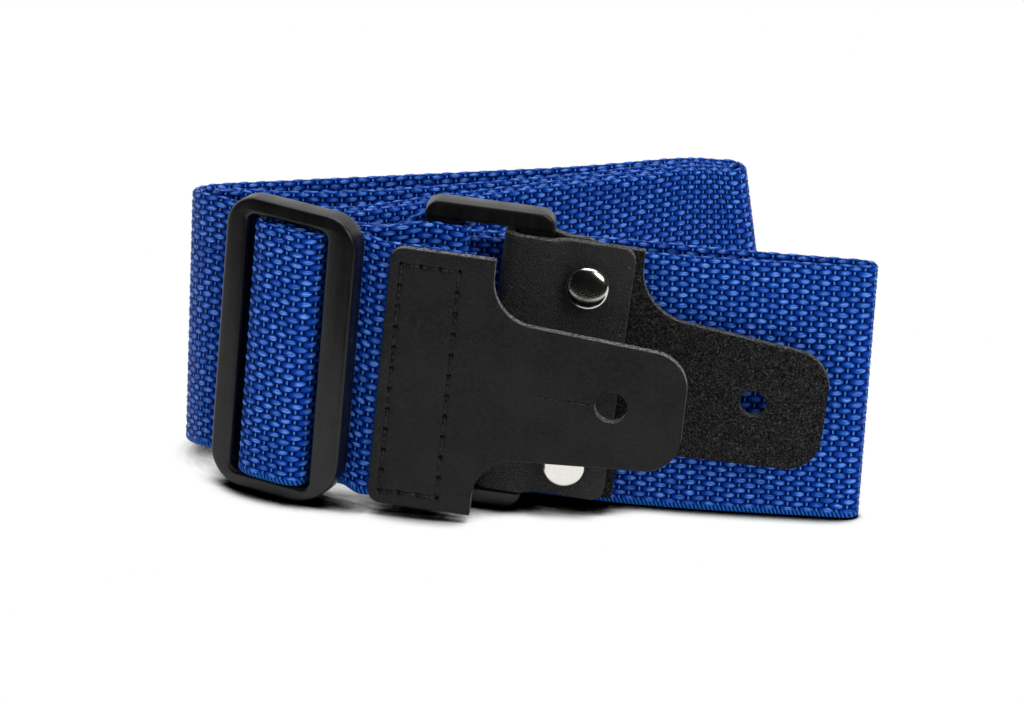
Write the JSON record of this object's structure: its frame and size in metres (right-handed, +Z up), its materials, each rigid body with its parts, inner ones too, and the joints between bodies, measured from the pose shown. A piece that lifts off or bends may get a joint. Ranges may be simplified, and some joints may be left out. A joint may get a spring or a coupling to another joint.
{
  "type": "instrument shoulder strap",
  "caption": "Woven shoulder strap, folded up, with a three-bar slider, a rectangular ring and leather tabs with button holes.",
  "frame": {"origin": "on the standing surface, under the middle of the folded strap's bounding box", "axes": "+X to the right along the front of the folded strap, from the slider to the leather tabs' tips; +Y away from its front; +Z up, across the width of the webbing"},
  "size_m": [0.1296, 0.0836, 0.0603],
  "materials": {
    "webbing": "woven, royal blue",
    "leather": "black, smooth on one face and napped on the other",
    "plastic": "black, fine satin",
    "nickel": "polished nickel plate",
    "thread": "black sewing thread"
  },
  "bodies": {
    "webbing": {"webbing_outer_run": "webbing", "webbing_slack_loop": "webbing", "webbing_ring_loop": "webbing", "webbing_inner_run": "webbing", "webbing_inner_turn": "webbing", "webbing_lead": "webbing"},
    "slider": {"slider": "plastic", "webbing_bridge": "webbing", "webbing_anchor": "webbing", "anchor_needle_thread": "thread", "anchor_bobbin_thread": "thread"},
    "front_tab": {"front_tab": "leather", "webbing_tail": "webbing", "front_tab_needle_thread": "thread", "front_tab_bobbin_thread": "thread"},
    "ring": {"ring": "plastic"},
    "rear_tab": {"rear_tab": "leather", "upper_rivet_cap": "nickel", "upper_rivet_post": "nickel", "lower_rivet_cap": "nickel", "lower_rivet_post": "nickel"}
  },
  "joints": [
    {"name": "slider_slide", "type": "slide", "parent": "webbing", "child": "slider", "axis": [0.9054, -0.4222, -0.0436], "range_m": [-0.0025, 0.0025], "deforming": ["webbing_inner_turn"]},
    {"name": "front_tab_swing", "type": "hinge", "parent": "webbing", "child": "front_tab", "pos_m": [-0.02698, -0.03269, 0.028], "axis": [-0.052, 0.0055, -0.9986], "range_deg": [0, 40]},
    {"name": "ring_swing", "type": "hinge", "parent": "webbing", "child": "ring", "pos_m": [-0.0186, -0.02598, 0.03085], "axis": [-0.0732, 0.0026, -0.9973], "range_deg": [-1.5, 4]},
    {"name": "rear_tab_swing", "type": "hinge", "parent": "ring", "child": "rear_tab", "pos_m": [-0.00116, -0.02659, 0.02957], "axis": [-0.0732, 0.0026, -0.9973], "range_deg": [-1.5, 4]}
  ]
}
